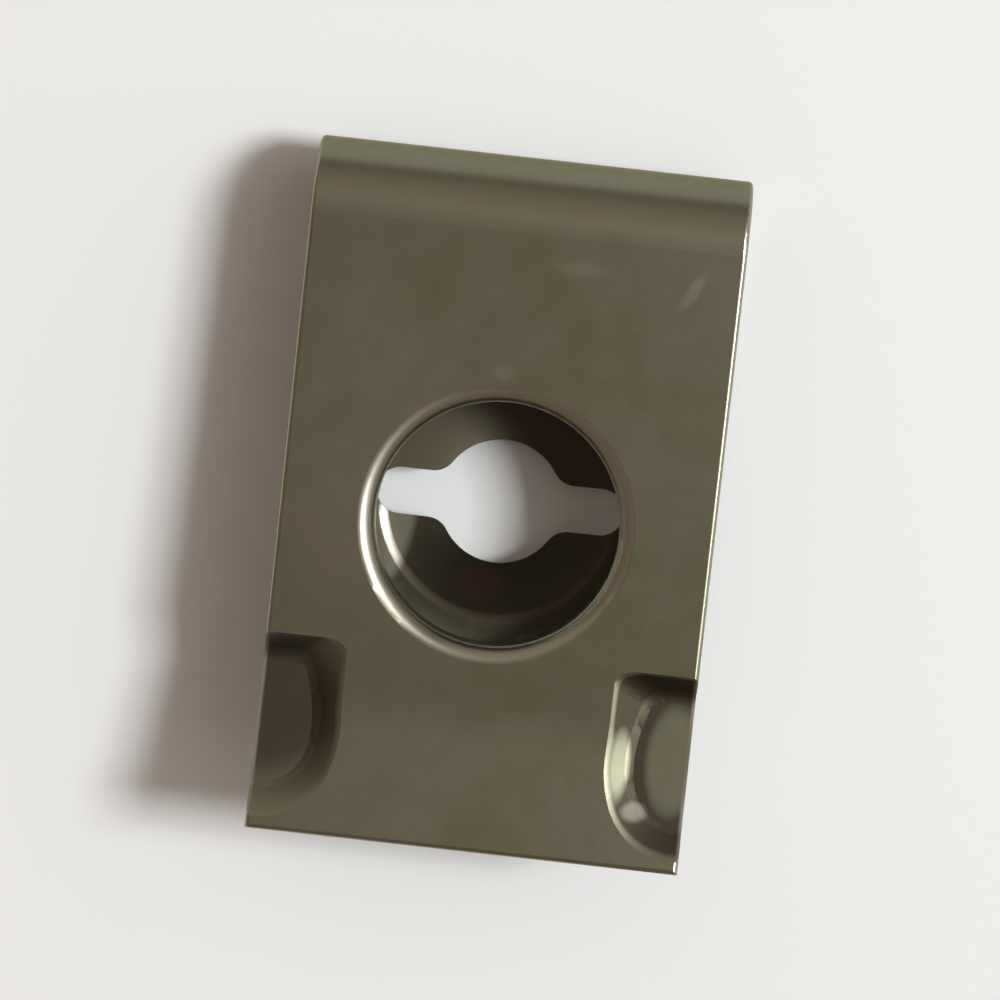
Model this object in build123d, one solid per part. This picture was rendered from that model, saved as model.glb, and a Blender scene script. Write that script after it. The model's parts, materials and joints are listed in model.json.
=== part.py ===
from build123d import *
import os
from math import asin, atan, atan2, cos, degrees, hypot, pi, radians, sin, tan

# U clip speed nut: one strip of spring steel folded into a U.
# The thread leg lies below and the plain leg above. Millimetres, +Z up, fold towards +Y.
# The clip is drawn with its thread leg level and the screw axis on Z, then laid down as it rests.

# Strip
sheet = 0.5                # thickness of the steel
clip_width = 11.0
fold_radius = 1.85         # outside of the fold
hole_to_fold = 8.75        # screw axis to the outside of the fold
plain_reach = 8.3          # guide hole axis to the free end of the plain leg
thread_reach = 8.0         # screw axis to the free end of the thread leg
closing_angle = 6.0        # how far the legs lean together, degrees
edge_round = 0.12          # sheared edges, as tumbling leaves them

# Lip at the free end of the plain leg
lip_start = 4.6            # guide hole axis to the bend
lip_bend_radius = 7.0
lip_angle = 8.0

# Guide hole in the plain leg, its edge rolled down into a short collar
guide_radius = 3.1         # clear opening
roll_radius = 0.42         # rounding of the upper edge
collar_drop = 0.6          # collar below the underside of the leg
collar_wall = 0.36
collar_root = 0.2          # rounding between collar and leg

# Thread impression: a keyhole whose two prongs follow one turn of the screw's helix
screw_radius = 1.6         # hole between the prongs
thread_pitch = 1.4
dome_radius = 3.0          # where the prongs leave the leg
dome_drop = 0.75           # mean drop of the prong tips
dome_bend_radius = 0.35    # rounding where the prongs leave the leg
slot_width = 1.2
slot_run_out = 0.2         # slot tips past the edge of the dome
slot_root_radius = 0.6     # softening between slot and hole
thread_shift = 0.5         # keyhole nearer the fold than the guide hole

# Half dimples pressed into both sides of the plain leg
dimple_from_end = 1.1
dimple_length = 3.9
dimple_reach = 2.1         # in from the side
dimple_depth = 0.6
dimple_corner = 0.8        # rounding in plan between the square wall and the inner one
dimple_fold_draft = 48.0   # lean of the wall towards the fold, degrees
dimple_inner_draft = 62.0  # lean of the inner wall
dimple_round = 0.5         # rounding of the foot's edge
dimple_wall = 0.4          # steel left in the walls

beyond = 1.5               # how far cutting tools run past the steel
tiny = 0.001               # when edges are picked by their size and place

# Worked out from the sizes above
fold_centre = hole_to_fold - fold_radius
half_width = clip_width / 2
guide_from_fold = fold_centre + thread_shift
slot_span = 2 * (dome_radius + slot_run_out)
dimple_start = dimple_from_end + dimple_length - plain_reach
dimple_straight = dimple_corner + (dimple_depth + sheet) * tan(radians(dimple_fold_draft))


def plain_leg():
    """Location of the guide hole's centre on top of the plain leg, Z out of the leg."""
    lean = radians(closing_angle)
    start_y = fold_centre - fold_radius * sin(lean)
    start_z = fold_radius + fold_radius * cos(lean)
    centre = (0, start_y - guide_from_fold * cos(lean), start_z - guide_from_fold * sin(lean))
    return Location(centre, (closing_angle, 0, 0))


def strip():
    """The bent strip, its outer line drawn first and thickened inwards."""
    lip_flat = plain_reach - lip_start - lip_bend_radius * radians(lip_angle)
    with BuildPart() as bent:
        with BuildSketch(Plane.YZ):
            with BuildLine():
                below = Line((-thread_reach, 0), (fold_centre, 0))
                turn = JernArc(below @ 1, below % 1, fold_radius, 180 + closing_angle)
                above = PolarLine(turn @ 1, guide_from_fold + lip_start, direction=turn % 1)
                rise = JernArc(above @ 1, above % 1, lip_bend_radius, -lip_angle)
                PolarLine(rise @ 1, lip_flat, direction=rise % 1)
                offset(amount=sheet, side=Side.LEFT, closed=True)
            make_face()
        extrude(amount=half_width, both=True)
        sheared = bent.faces().filter_by(Axis.X) + bent.faces().sort_by(SortBy.AREA)[:2]
        fillet(sheared.edges().filter_by(lambda e: e.length > sheet + tiny), edge_round)
    return bent.part


def roll_guide_hole(steel):
    """Guide hole with its edge rolled down into a short collar."""
    outer = guide_radius + roll_radius + collar_root
    foot = -sheet - collar_drop
    wall = guide_radius + collar_wall
    with BuildPart() as ring:
        with BuildSketch(Plane.XZ):
            with BuildLine():
                Polyline((outer, 0), (guide_radius, 0), (guide_radius, foot), (wall, foot),
                         (wall, -sheet), (outer, -sheet), (outer, 0))
            make_face()
        revolve(axis=Axis.Z)
        levels = ring.edges().filter_by(GeomType.CIRCLE).group_by(Axis.Z)
        fillet(levels[-1].sort_by(SortBy.RADIUS)[0], roll_radius)
        fillet(levels[1].sort_by(SortBy.RADIUS)[0], collar_root)
    hole = Cylinder(outer, 4 * sheet)
    return steel - plain_leg() * hole + plain_leg() * ring.part


def dimple_plan(grow):
    """Plan of the right dimple's inner wall, sweeping back to the side near the free end."""
    inner = half_width - dimple_reach
    with BuildSketch() as plan:
        with BuildLine():
            along = Line((inner, dimple_start + beyond), (inner, dimple_start - dimple_straight))
            low = dimple_start - dimple_length
            past_side = half_width + beyond
            sweep_back = TangentArc(along @ 1, (half_width, low), tangent=(0, -1))
            Polyline(sweep_back @ 1, (past_side, low), (past_side, dimple_start + beyond), along @ 0)
        make_face()
        offset(amount=grow)
    return plan.sketch


def dimple_punch(spread, top, depth):
    """Punch for the right dimple: square to the fold side, soft inner wall and a sloping foot."""
    room = 4 * clip_width
    widen = top * tan(radians(dimple_inner_draft)) + spread / cos(radians(dimple_inner_draft))
    body = extrude(Pos(0, 0, top) * dimple_plan(widen), amount=-top - depth, taper=dimple_inner_draft)
    square = Location((0, dimple_start + spread, 0), (-dimple_fold_draft, 0, 0)) * Pos(0, -room / 2, 0)
    slope = degrees(atan2(dimple_depth, dimple_length))
    foot = Location((0, dimple_start, -depth), (-slope, 0, 0)) * Pos(0, 0, room / 2)
    body = body & square * Box(room, room, room) & foot * Box(room, room, room)
    corner = body.faces().sort_by(Axis.Y)[-1].edges().sort_by(Axis.X)[0]
    body = fillet(corner, dimple_corner)
    foot_edges = body.faces().sort_by(Axis.Z)[0].edges()
    return fillet(foot_edges.filter_by(lambda e: e.center().X < half_width), dimple_round + spread)


def press_dimples(steel):
    """Both half dimples, the steel pushed down under each punch."""
    within = Box(clip_width, 2 * hole_to_fold, 2 * hole_to_fold)
    boss = dimple_punch(dimple_wall, -sheet / 2, dimple_depth + sheet) & within
    punch = dimple_punch(0, beyond, dimple_depth)
    steel = steel + plain_leg() * boss + plain_leg() * mirror(boss, Plane.YZ)
    return steel - plain_leg() * punch - plain_leg() * mirror(punch, Plane.YZ)


def half_disc(plane, disc, side):
    """Half of a disc laid on a plane, on one side of the plane's X axis."""
    keep = Align.MIN if side > 0 else Align.MAX
    reach = dome_radius + beyond
    half = disc & Rectangle(2 * reach, reach, align=(Align.CENTER, keep))
    return (plane * half).face()


def prong_funnel(side, surface):
    """Half funnel that a prong follows, from the leg's surface to past the tip.

    The prong on the fold side is +1. Its tip climbs towards -X and the other one's towards +X,
    so both lie on one right-hand helix.
    """
    lean = asin(slot_width / 2 / screw_radius)
    climb = thread_pitch * (pi - 2 * lean) / (2 * pi)
    tip_radius = screw_radius - sheet / 2
    past = (dome_radius - tip_radius) / (dome_radius - screw_radius)
    drop = (dome_drop - side * thread_pitch / 4) * past
    tilt = atan(side * climb * past / (2 * screw_radius * cos(lean)))
    tip_plane = Plane((0, 0, surface - drop), x_dir=(cos(tilt), 0, -sin(tilt)),
                      z_dir=(sin(tilt), 0, cos(tilt)))
    base = half_disc(Plane((0, 0, surface)), Circle(dome_radius), side)
    tip = half_disc(tip_plane, Ellipse(tip_radius / cos(tilt), tip_radius), side)
    return loft([base, tip], ruled=True)


def keyhole():
    """Plan of the screw hole with its two slots."""
    with BuildSketch() as plan:
        Circle(screw_radius)
        SlotOverall(slot_span, slot_width)
        roots = plan.vertices().filter_by(lambda v: hypot(v.X, v.Y) < (screw_radius + dome_radius) / 2)
        fillet(roots, slot_root_radius)
    return plan.sketch


def press_thread(steel):
    """Both prongs pressed down into a helix, with the screw hole and its slots."""
    for side in (1, -1):
        steel = steel + prong_funnel(side, 0)
    for side in (1, -1):
        steel = steel - prong_funnel(side, sheet)
    above = 2 * sheet
    below = dome_drop + thread_pitch + sheet
    steel = steel - Pos(0, 0, above) * extrude(keyhole(), amount=-above - below)
    for level in (sheet, 0):
        arcs = steel.edges().filter_by(GeomType.CIRCLE)
        arcs = arcs.filter_by(lambda e: abs(e.radius - dome_radius) < tiny)
        steel = fillet(arcs.filter_by(lambda e: abs(e.arc_center.Z - level) < tiny), dome_bend_radius)
    return steel


def lie_down(clip):
    """Put the middle of the thread at the origin and let the fold and the lowest prong rest level."""
    low = clip.vertices().sort_by(Axis.Z)[0]
    across = fold_centre - low.Y
    down = fold_radius - low.Z
    pitch = atan2(down, across) - asin(fold_radius / hypot(down, across))
    return Rot(-degrees(pitch), 0, 0) * Pos(0, 0, dome_drop - sheet / 2) * clip


clip = press_dimples(roll_guide_hole(press_thread(strip())))
clip = lie_down(clip)
os.makedirs("parts", exist_ok=True)
export_step(clip, "parts/u_clip.step")
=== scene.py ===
"""U clip speed nut: the finish of its steel, and the floor, lights and camera round it."""

import json
import math

import bpy
from mathutils import Matrix, Vector


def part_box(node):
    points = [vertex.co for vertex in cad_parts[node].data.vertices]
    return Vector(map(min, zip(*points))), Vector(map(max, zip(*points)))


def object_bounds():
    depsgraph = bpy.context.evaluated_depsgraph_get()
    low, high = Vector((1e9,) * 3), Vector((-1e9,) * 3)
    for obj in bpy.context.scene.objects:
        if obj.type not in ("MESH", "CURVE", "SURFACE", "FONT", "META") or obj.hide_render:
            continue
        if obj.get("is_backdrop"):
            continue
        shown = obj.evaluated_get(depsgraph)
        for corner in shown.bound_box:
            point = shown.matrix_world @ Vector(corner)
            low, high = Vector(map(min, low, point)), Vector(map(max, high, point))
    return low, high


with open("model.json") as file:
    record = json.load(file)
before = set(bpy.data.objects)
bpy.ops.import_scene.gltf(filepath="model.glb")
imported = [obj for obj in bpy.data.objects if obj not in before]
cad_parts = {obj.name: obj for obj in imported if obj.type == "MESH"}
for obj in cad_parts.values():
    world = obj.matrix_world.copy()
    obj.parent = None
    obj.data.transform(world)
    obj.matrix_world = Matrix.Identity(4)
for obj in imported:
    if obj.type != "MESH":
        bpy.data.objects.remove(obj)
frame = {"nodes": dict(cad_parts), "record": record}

bl_info = {
    "name": "U Clip Speed Nut",
    "version": (1, 0, 0),
    "blender": (4, 5, 0),
    "location": "View3D > Sidebar > Speed Nut",
    "description": "Oiled spring steel finish for a folded clip nut, with a pale studio round it",
    "category": "Object",
}

MM = 0.001
CLIP_NODE = "u_clip"

# Camera and floor, in metres
FLOOR_SIZE = 3.0
VIEW_FROM = Vector((0.01, 0.155, 1.0))
VIEW_ROLL = math.radians(6.2)
VIEW_DISTANCE = 0.112
VIEW_NEAREST = 0.005

# Lights: distance and size in metres, turn from the right side of the view, height over the floor
LIGHT_DISTANCE = 1.0
KEY_SIZE = 0.25
KEY_COLOUR = (0.965, 1.0, 1.0)
WINDOW_HEIGHT = math.radians(40.0)
WINDOW_SIZE = 1.2
WINDOW_COLOUR = (1.0, 1.0, 1.0)
BACK_TURN = math.radians(100.0)
BACK_HEIGHT = math.radians(42.0)
BACK_DISTANCE = 0.8
BACK_SIZE = 0.9
BACK_COLOUR = (1.0, 0.93, 0.84)

# Heights out of the plain leg, in millimetres from the middle of the guide hole. A pair is where
# a change starts and where it ends.
LEG_TOP = 0.76
OUTER_FACE = (0.50, 0.70)
RIM_HEIGHT = (0.2, 0.5)
DIMPLE_FLOOR = (0.02, 0.12)
SPECK_HEIGHT = (-0.2, 0.0)
THREAD_LEG = (-0.7, -1.1)

# Along the plain leg, towards the fold
LIP_BEND = -5.1
LIP_ANGLE = math.radians(8.0)
# Painted shade round the fold: where it starts along the leg and where it is full
FOLD_SHADE_SPAN = (8.1, 8.6)

# Distances from the axis of the guide hole, of the thread, and in from the sheared sides
RIM_EDGE = (3.55, 3.40)
PRONG_EDGE = (3.4, 3.0)
# Painted shade inside the thread leg: where it starts and is full, and the middle of its round along
# the leg
SHADE_FILM_EDGE = (4.8, 3.4)
SHADE_FILM_CENTRE = 0.65
SIDE_RUB = (0.12, 0.02)

# Height over the middle of the thread, and depth under the plain leg's face
INNER_FACE = (0.6, 0.9)
SUNK_DEPTH = (0.01, 0.09)

# Soft ellipses, seen on the plain leg: centre across and along, half length, half width, degrees
# Painted highlight on the thread leg's bend, where the painted shade is cleared
BEND_HIGHLIGHT = ((-2.75, -0.75), 1.5, 0.6, 80.0)
RUST_SPOT = ((-0.3, -1.8), 0.7, 0.45)
# Painted shade in the dimples; in the right one the crescent and the foot are kept clear for their
# highlights
LEFT_DIMPLE = ((-5.4, -5.2), 2.6, 2.9, 90.0)
RIGHT_DIMPLE = ((5.2, -5.2), 3.9, 3.6, 90.0)
RIGHT_CRESCENT = ((3.75, -5.7), 1.1, 0.34, 90.0)
RIGHT_FOOT = ((5.1, -5.5), 1.6, 0.8, 90.0)
# Painted sheen: the left of the plain leg's face made paler
LEFT_SHEEN = ((-3.6, 2.0), 4.5, 2.6, 90.0)
SCRATCH = ((4.24, 6.37), 0.60, 0.19, 60.0)
SPECK_BY_RIM = ((-0.23, 3.85), 0.34, 0.22)
SPECK_IN_DIMPLE = ((4.24, -6.85), 0.36, 0.28)
SMEAR = ((1.44, 6.65), 0.80, 0.20)

# Where an ellipse starts and is full, as shares of its half lengths
ELLIPSE_EDGE = (1.15, 0.45)

# Noise: lumps per millimetre, detail and roughness; then the part of it that shows as a tone
CLOUDS = (0.22, 2.0)
MOTTLE = (1.1, 5.0, 0.6)
GRAIN = (9.0, 4.0, 0.65)
GREEN_EDGE = (0.42, 0.62)
BROWN_EDGE = (0.45, 0.70)

# How far the mottle frays an edge, in millimetres, and how much of that small marks take
FRAY = 1.2
DIMPLE_FRAY = 0.2
SCRATCH_FRAY = 0.12

# How strongly each tone shows, 1 for in full
BROWN_SHARE = 0.6
# Next: how strongly the painted shade round the fold shows
FOLD_SHADE_SHARE = 0.7
RUST_SHARE = 0.6
SIDE_SHARE = 0.42
RIM_SHARE = 0.45
SCRATCH_SHARE = 0.17
SPECK_SHARE = 0.12
DIMPLE_SPECK_SHARE = 0.3
SMEAR_SHARE = 0.3
# Next three: the painted highlight on the thread leg's bend, the painted sheen on the left of the
# face, the painted shade in the right dimple
BEND_HIGHLIGHT_SHARE = 0.5
LEFT_SHEEN_SHARE = 0.12
RIGHT_DIMPLE_SHADE = 1.2

# How much of the painted shade is cleared in a place, 1 for all of it: on the bend's painted highlight
# and on the right dimple's crescent and foot
BEND_HIGHLIGHT_CLEAR = 0.85
CRESCENT_UNSHADED = 0.87
FOOT_UNSHADED = 1.02

# What each layer adds to the steel's roughness
MOTTLE_ROUGH = 0.08
SIDE_ROUGH = -0.06
# Roughness added under the painted shade
SHADE_FILM_ROUGH = 0.22
MARK_ROUGH = 0.15
SMEAR_ROUGH = 0.1
CRESCENT_ROUGH = 0.08

# Bumps: strength, height in metres, and the shares of grain and mottle
BUMP_STRENGTH = 0.25
BUMP_HEIGHT = 0.01 * MM
GRAIN_BUMP = 0.3
MOTTLE_BUMP = 0.6

# Table: noise in lumps per metre and detail, the darker of its two tones, and its roughness
TABLE_NOISE = (40.0, 2.0)
TABLE_SHADE = 0.985
TABLE_ROUGHNESS = 0.6


# ---------------------------------------------------------------- the clip's own places

def mount(name):
    """Place and direction of one of the clip's mounts, in metres."""
    found = next(m for m in frame["record"]["mounts"] if m["name"] == name)
    return Vector(found["pos_m"]), Vector(found["axis"]).normalized()


def width():
    """Width of the strip."""
    low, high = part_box(CLIP_NODE)
    return high.x - low.x


# ---------------------------------------------------------------- shader maths

class Wire:
    """A shader socket that takes part in sums: each operator adds its Math node."""

    def __init__(self, tree, socket):
        self.tree = tree
        self.socket = socket

    def node(self, kind, settings=None, inputs=None, output=0):
        """Add a node: its settings first, then values or links for its sockets. Gives one output."""
        made = self.tree.nodes.new(kind)
        for name, value in (settings or {}).items():
            setattr(made, name, value)
        for name, value in (inputs or {}).items():
            if isinstance(value, Wire):
                self.tree.links.new(value.socket, made.inputs[name])
            else:
                made.inputs[name].default_value = value
        return Wire(self.tree, made.outputs[output] if made.outputs else None)

    def maths(self, operation, *values):
        return self.node("ShaderNodeMath", {"operation": operation}, dict(enumerate(values)))

    def __add__(self, other):
        return self.maths("ADD", self, other)

    def __radd__(self, other):
        return self.maths("ADD", other, self)

    def __sub__(self, other):
        return self.maths("SUBTRACT", self, other)

    def __rsub__(self, other):
        return self.maths("SUBTRACT", other, self)

    def __mul__(self, other):
        return self.maths("MULTIPLY", self, other)

    def __rmul__(self, other):
        return self.maths("MULTIPLY", other, self)

    def __truediv__(self, other):
        return self.maths("DIVIDE", self, other)

    def __rtruediv__(self, other):
        return self.maths("DIVIDE", other, self)

    def __pow__(self, other):
        return self.maths("POWER", self, other)

    def __rpow__(self, other):
        return self.maths("POWER", other, self)

    def __abs__(self):
        return self.maths("ABSOLUTE", self)

    def at_least(self, other):
        return self.maths("MAXIMUM", self, other)

    def at_most(self, other):
        return self.maths("MINIMUM", self, other)

    def parts(self):
        """The three components of a vector."""
        split = self.node("ShaderNodeSeparateXYZ", None, {0: self}).socket.node
        return [Wire(self.tree, output) for output in split.outputs]

    def step(self, start, end):
        """0 below start and 1 past end, smooth between; the other way round if end is lower."""
        low, high = min(start, end), max(start, end)
        rise = (0.0, 1.0) if start < end else (1.0, 0.0)
        return self.node("ShaderNodeMapRange", {"interpolation_type": "SMOOTHSTEP"},
                         {"Value": self, "From Min": low, "From Max": high,
                          "To Min": rise[0], "To Max": rise[1]})


def rgba(colour):
    """A colour with its alpha."""
    return (*colour, 1.0)


def new_material(name):
    """An empty node material and the wire that its first nodes start from."""
    material = bpy.data.materials.new(name)
    material.use_nodes = True
    material.node_tree.nodes.clear()
    return material, Wire(material.node_tree, None)


def mixed(a, b, share):
    """Colour a turning to colour b as share goes from 0 to 1."""
    start = share if isinstance(share, Wire) else a
    return start.node("ShaderNodeMix", {"data_type": "RGBA"}, {0: share, 6: a, 7: b}, output=2)


def noise(place, scale, detail, rough=0.5):
    """Fractal noise at a place, scale in lumps per unit of it."""
    return place.node("ShaderNodeTexNoise", {"noise_dimensions": "3D"},
                      {"Vector": place, "Scale": scale, "Detail": detail, "Roughness": rough})


def object_place(start):
    """Object coordinates, in metres."""
    return start.node("ShaderNodeTexCoord", output=3)


# ---------------------------------------------------------------- steel

def on_mount(start, name):
    """Millimetres from a mount, with Z along its axis."""
    centre, axis = mount(name)
    return start.node("ShaderNodeMapping", {"vector_type": "TEXTURE"},
                      {"Vector": object_place(start), "Location": centre,
                       "Rotation": (math.atan2(-axis.y, axis.z), 0.0, 0.0), "Scale": (MM, MM, MM)})


def smudge(u, v, centre, half_length, half_width, degrees=0.0):
    """1 inside a soft ellipse, 0 outside."""
    turn = math.radians(degrees)
    across = u - centre[0]
    along = v - centre[1]
    a = (across * math.cos(turn) + along * math.sin(turn)) / half_length
    b = (along * math.cos(turn) - across * math.sin(turn)) / half_width
    return ((a * a + b * b) ** 0.5).step(*ELLIPSE_EDGE)


def from_axis(u, v, centre_v=0.0):
    """Distance from an axis that stands on the leg."""
    return (u * u + (v - centre_v) * (v - centre_v)) ** 0.5


def sunk_steel(v, w):
    """1 where the plain leg is pressed in below its own face, the lifted lip allowed for."""
    lip_rise = (LIP_BEND - v).at_least(0.0) * math.tan(LIP_ANGLE)
    return (LEG_TOP + lip_rise - w).step(*SUNK_DEPTH) * w.step(*DIMPLE_FLOOR)


def darken_recesses(start, u, v, thread_side, bend_highlight, sunk, ragged):
    """Painted shade, a dark film: inside the thread leg, on both prongs and in the dimples, cleared
    where highlights show.
    """
    thread_u, thread_v, thread_w = on_mount(start, "thread").parts()
    prongs = from_axis(thread_u, thread_v).step(*PRONG_EDGE)
    round_thread = (from_axis(u, v, SHADE_FILM_CENTRE) + ragged).step(*SHADE_FILM_EDGE)
    on_thread = (round_thread * thread_side * (1.0 - bend_highlight * BEND_HIGHLIGHT_CLEAR)
                 * thread_w.step(*INNER_FACE).at_least(prongs))
    left = smudge(u + ragged * DIMPLE_FRAY, v, *LEFT_DIMPLE)
    crescent = smudge(u, v, *RIGHT_CRESCENT) * CRESCENT_UNSHADED
    foot = smudge(u, v, *RIGHT_FOOT) * FOOT_UNSHADED
    right = smudge(u, v, *RIGHT_DIMPLE) * (RIGHT_DIMPLE_SHADE - crescent - foot)
    return (on_thread + sunk * (left + right)).at_most(1.0)


def spring_steel(look):
    """Hardened strip steel, dark olive grey and oiled, a little uneven, paler where it rubs; with
    painted shade in the recesses and round the fold, a painted highlight on the thread leg's bend and
    painted sheen on the rim and the left of the face.
    """
    material, start = new_material("spring_steel_oiled")
    leg = on_mount(start, "guide_hole")
    u, v, w = leg.parts()

    clouds = noise(leg, *CLOUDS)
    mottle = noise(leg, *MOTTLE)
    grain = noise(leg, *GRAIN)
    ragged = (mottle - 0.5) * FRAY

    outside = w.step(*OUTER_FACE)
    thread_side = w.step(*THREAD_LEG)
    # Painted highlight on the thread leg's bend, left of the hole
    bend_highlight = smudge(u, v, *BEND_HIGHLIGHT)
    sunk = sunk_steel(v, w)
    # Painted shade in the recesses
    shade_film = darken_recesses(start, u, v, thread_side, bend_highlight, sunk, ragged)

    half_width = width() / MM / 2
    side = abs(u).step(half_width - SIDE_RUB[0], half_width - SIDE_RUB[1])
    # The guide hole's rim, lighter all round: rubbed steel, and painted sheen for its bright
    # reflection
    rim = from_axis(u, v).step(*RIM_EDGE) * w.step(*RIM_HEIGHT)
    marks = (outside * (smudge(u + ragged * SCRATCH_FRAY, v, *SCRATCH) * SCRATCH_SHARE
                        + smudge(u, v, *SPECK_BY_RIM) * SPECK_SHARE)
             + w.step(*SPECK_HEIGHT) * smudge(u, v, *SPECK_IN_DIMPLE) * DIMPLE_SPECK_SHARE)
    smear = outside * smudge(u, v, *SMEAR) * SMEAR_SHARE
    # Pale tone: rubbed sides, rim and marks, with painted sheen on the rim and the left of the face
    # and a painted highlight on the thread leg's bend
    rubbed = (side * SIDE_SHARE + rim * RIM_SHARE + marks + bend_highlight * thread_side * BEND_HIGHLIGHT_SHARE
              + outside * smudge(u, v, *LEFT_SHEEN) * LEFT_SHEEN_SHARE)

    tone = mixed(rgba(look.steel_colour), rgba(look.green_colour), clouds.step(*GREEN_EDGE))
    tone = mixed(tone, rgba(look.brown_colour), mottle.step(*BROWN_EDGE) * BROWN_SHARE)
    # Painted shade round the fold
    tone = mixed(tone, rgba(look.fold_shade_colour), v.step(*FOLD_SHADE_SPAN) * FOLD_SHADE_SHARE)
    # Painted shade in the recesses
    tone = mixed(tone, rgba(look.painted_shade_colour), shade_film)
    tone = mixed(tone, rgba(look.rust_colour), thread_side * smudge(u, v, *RUST_SPOT) * RUST_SHARE)
    # Wear, painted sheen and the painted highlight, in one pale tone
    tone = mixed(tone, rgba(look.wear_and_sheen_colour), rubbed)
    tone = mixed(tone, rgba(look.green_colour), smear)

    rough = (look.roughness + (mottle - 0.5) * MOTTLE_ROUGH + side * SIDE_ROUGH + shade_film * SHADE_FILM_ROUGH
             + marks * MARK_ROUGH + smear * SMEAR_ROUGH
             + smudge(u, v, *RIGHT_CRESCENT) * sunk * CRESCENT_ROUGH)
    normal = start.node("ShaderNodeBump", None,
                        {"Strength": BUMP_STRENGTH, "Distance": BUMP_HEIGHT,
                         "Height": grain * GRAIN_BUMP + mottle * MOTTLE_BUMP})
    steel = start.node("ShaderNodeBsdfPrincipled", None,
                       {"Base Color": tone, "Metallic": 1.0, "Roughness": rough, "Normal": normal,
                        "Specular Tint": rgba(look.grazing_colour)})
    start.node("ShaderNodeOutputMaterial", None, {"Surface": steel})
    return material


# ---------------------------------------------------------------- settings

class SteelLook(bpy.types.PropertyGroup):
    steel_colour: bpy.props.FloatVectorProperty(
        name="Steel", description="Main tone of the oiled steel", subtype="COLOR",
        default=(0.275, 0.270, 0.200), min=0.0, max=1.0)
    green_colour: bpy.props.FloatVectorProperty(
        name="Green cast", description="Tone of the patches that the quench leaves greener",
        subtype="COLOR", default=(0.252, 0.259, 0.173), min=0.0, max=1.0)
    brown_colour: bpy.props.FloatVectorProperty(
        name="Brown mottle", description="Tone of the browner specks", subtype="COLOR",
        default=(0.262, 0.240, 0.182), min=0.0, max=1.0)
    # Painted shade: the darker tone round the fold
    fold_shade_colour: bpy.props.FloatVectorProperty(
        name="Fold", description="Tone round the fold, where the bending has dulled the steel",
        subtype="COLOR", default=(0.202, 0.200, 0.138), min=0.0, max=1.0)
    # Painted shade: the dark tone for the thread leg's inside, the prongs and the dimples
    painted_shade_colour: bpy.props.FloatVectorProperty(
        name="Old oil", description="Tone where oil and dirt have gathered", subtype="COLOR",
        default=(0.060, 0.052, 0.036), min=0.0, max=1.0)
    # Also the tone of the painted highlight and the painted sheen
    wear_and_sheen_colour: bpy.props.FloatVectorProperty(
        name="Rubbed steel", description="Tone where edges have rubbed bright", subtype="COLOR",
        default=(0.55, 0.52, 0.45), min=0.0, max=1.0)
    rust_colour: bpy.props.FloatVectorProperty(
        name="Rust brown", description="Tone of the brown spot on the lower prong", subtype="COLOR",
        default=(0.11, 0.062, 0.045), min=0.0, max=1.0)
    grazing_colour: bpy.props.FloatVectorProperty(
        name="Grazing tint", description="Tone that the steel mirrors at a low angle", subtype="COLOR",
        default=(0.62, 0.58, 0.48), min=0.0, max=1.0)
    roughness: bpy.props.FloatProperty(
        name="Roughness", description="Gloss of the steel, 0 for a mirror", default=0.30,
        min=0.0, max=1.0, subtype="FACTOR")


class StageLook(bpy.types.PropertyGroup):
    floor_colour: bpy.props.FloatVectorProperty(
        name="Floor", description="Colour of the table", subtype="COLOR",
        default=(0.82, 0.835, 0.85), min=0.0, max=1.0)
    key_power: bpy.props.FloatProperty(
        name="Key light", description="Strength of the main light", default=8.7, min=0.0, unit="POWER")
    window_power: bpy.props.FloatProperty(
        name="Window", description="Strength of the wide light round the key", default=2.6, min=0.0,
        unit="POWER")
    back_power: bpy.props.FloatProperty(
        name="Back light", description="Strength of the wide dim light behind the fold", default=0.5,
        min=0.0, unit="POWER")
    key_height: bpy.props.FloatProperty(
        name="Key height", description="How high the main light stands over the floor",
        default=math.radians(51.0), unit="ROTATION")
    key_turn: bpy.props.FloatProperty(
        name="Key turn", description="Turn of the main light from the right side of the view",
        default=math.radians(8.0), unit="ROTATION")
    room_colour: bpy.props.FloatVectorProperty(
        name="Room", description="Colour of the light from all round", subtype="COLOR",
        default=(0.250, 0.190, 0.150), min=0.0, max=1.0)
    lens: bpy.props.FloatProperty(
        name="Lens", description="Focal length", default=158.0, min=10.0, unit="CAMERA")


# ---------------------------------------------------------------- operators

class SPEEDNUT_OT_clip(bpy.types.Operator):
    """Give the clip its steel"""

    bl_idname = "speed_nut.clip"
    bl_label = "Finish the clip"

    def execute(self, context):
        clip = frame["nodes"][CLIP_NODE]
        steel = spring_steel(context.scene.speed_nut_steel)
        for held in clip.material_slots:
            held.material = steel
        return {"FINISHED"}


def aim(turn, height):
    """Direction turned from the right side of the view, at a height over the floor."""
    turn += VIEW_ROLL
    level = math.cos(height)
    return Vector((math.cos(turn) * level, math.sin(turn) * level, math.sin(height)))


def add_light(name, direction, distance, size, power, colour, target):
    """A square area light that looks at a point from a direction."""
    bpy.ops.object.light_add(type="AREA", location=target + direction * distance)
    light = bpy.context.object
    light.name = name
    light.rotation_mode = "QUATERNION"
    light.rotation_quaternion = direction.to_track_quat("Z", "Y")
    light.data.size = size
    light.data.energy = power
    light.data.color = colour


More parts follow.
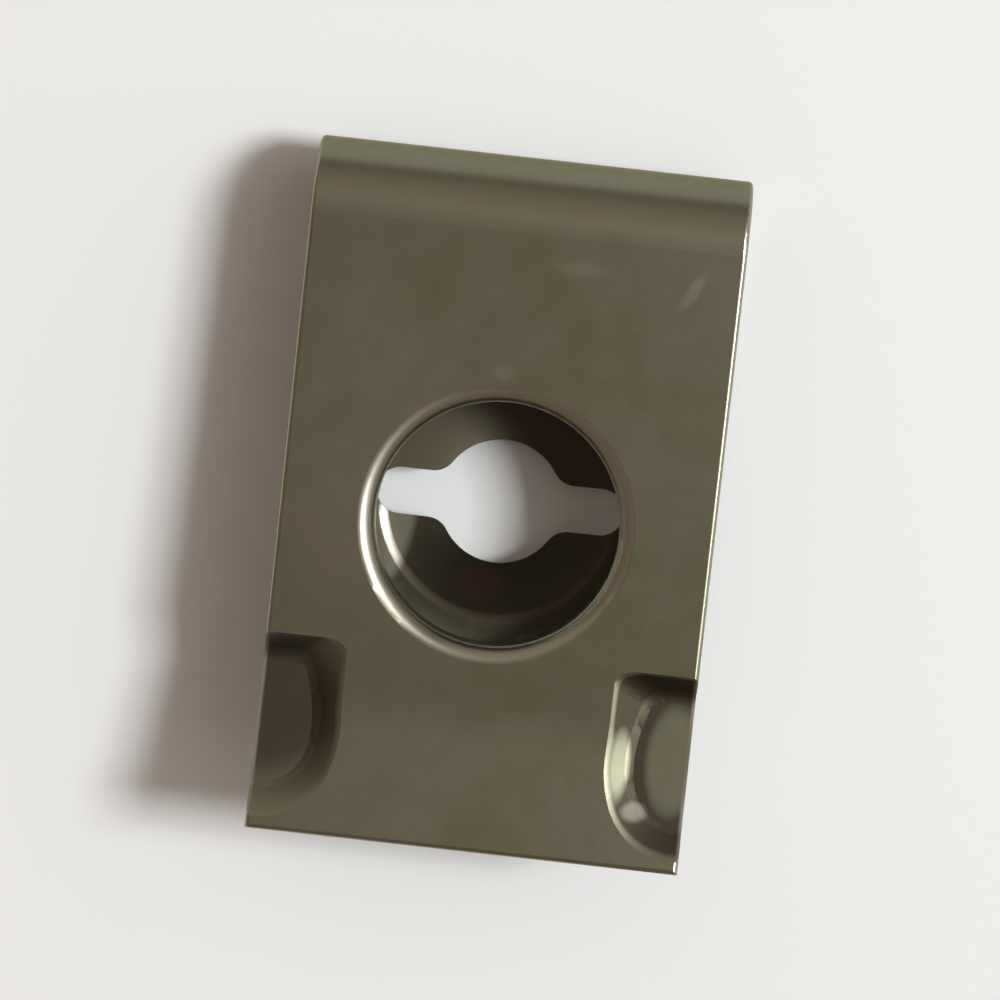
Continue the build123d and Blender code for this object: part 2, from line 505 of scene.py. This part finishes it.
class SPEEDNUT_OT_stage(bpy.types.Operator):
    """Lay the pale floor and set the lights and the camera"""

    bl_idname = "speed_nut.stage"
    bl_label = "Set the stage"

    def execute(self, context):
        look = context.scene.speed_nut_stage
        low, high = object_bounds()
        middle = (low + high) / 2
        bpy.ops.object.select_all(action="DESELECT")
        bpy.ops.mesh.primitive_plane_add(size=FLOOR_SIZE, location=(middle.x, middle.y, low.z))
        floor = context.object
        floor.name = "floor"
        bpy.ops.object.transform_apply(location=True, rotation=True, scale=True)
        floor.data.materials.append(table_top(look))
        floor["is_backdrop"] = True

        add_light("key", aim(look.key_turn, look.key_height), LIGHT_DISTANCE, KEY_SIZE,
                  look.key_power, KEY_COLOUR, middle)
        add_light("window", aim(look.key_turn, WINDOW_HEIGHT), LIGHT_DISTANCE, WINDOW_SIZE,
                  look.window_power, WINDOW_COLOUR, middle)
        add_light("back", aim(BACK_TURN, BACK_HEIGHT), BACK_DISTANCE, BACK_SIZE,
                  look.back_power, BACK_COLOUR, middle)

        world = bpy.data.worlds.new("room")
        world.use_nodes = True
        world.node_tree.nodes["Background"].inputs["Color"].default_value = rgba(look.room_colour)
        context.scene.world = world
        context.scene.view_settings.view_transform = "Standard"

        bpy.ops.object.camera_add()
        camera = context.object
        back = VIEW_FROM.normalized()
        side = Vector((-math.sin(VIEW_ROLL), math.cos(VIEW_ROLL), 0.0)).cross(back).normalized()
        turned = Matrix((side, back.cross(side), back)).transposed().to_4x4()
        camera.matrix_world = Matrix.Translation(middle + back * VIEW_DISTANCE) @ turned
        camera.data.lens = look.lens
        camera.data.clip_start = VIEW_NEAREST
        context.scene.camera = camera
        return {"FINISHED"}


def table_top(look):
    """Plain white table, not quite even."""
    material, start = new_material("table_white")
    tone = noise(object_place(start), *TABLE_NOISE)
    darker = rgba([c * TABLE_SHADE for c in look.floor_colour])
    table = start.node("ShaderNodeBsdfPrincipled", None,
                       {"Base Color": mixed(rgba(look.floor_colour), darker, tone),
                        "Roughness": TABLE_ROUGHNESS})
    start.node("ShaderNodeOutputMaterial", None, {"Surface": table})
    return material


class SPEEDNUT_PT_tools(bpy.types.Panel):
    """Lists the steps and their settings"""

    bl_idname = "SPEEDNUT_PT_tools"
    bl_label = "Speed Nut"
    bl_space_type = "VIEW_3D"
    bl_region_type = "UI"
    bl_category = "Speed Nut"

    def draw(self, context):
        for settings, operator in ((context.scene.speed_nut_steel, SPEEDNUT_OT_clip),
                                   (context.scene.speed_nut_stage, SPEEDNUT_OT_stage)):
            box = self.layout.box()
            for name in settings.__annotations__:
                box.prop(settings, name)
            box.operator(operator.bl_idname)


CLASSES = (SteelLook, StageLook, SPEEDNUT_OT_clip, SPEEDNUT_OT_stage, SPEEDNUT_PT_tools)


def register():
    for made in CLASSES:
        bpy.utils.register_class(made)
    bpy.types.Scene.speed_nut_steel = bpy.props.PointerProperty(type=SteelLook)
    bpy.types.Scene.speed_nut_stage = bpy.props.PointerProperty(type=StageLook)


def unregister():
    del bpy.types.Scene.speed_nut_stage
    del bpy.types.Scene.speed_nut_steel
    for made in reversed(CLASSES):
        bpy.utils.unregister_class(made)


def main():
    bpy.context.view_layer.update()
    register()
    bpy.ops.speed_nut.clip()
    bpy.ops.speed_nut.stage()


if __name__ == "__main__":
    main()
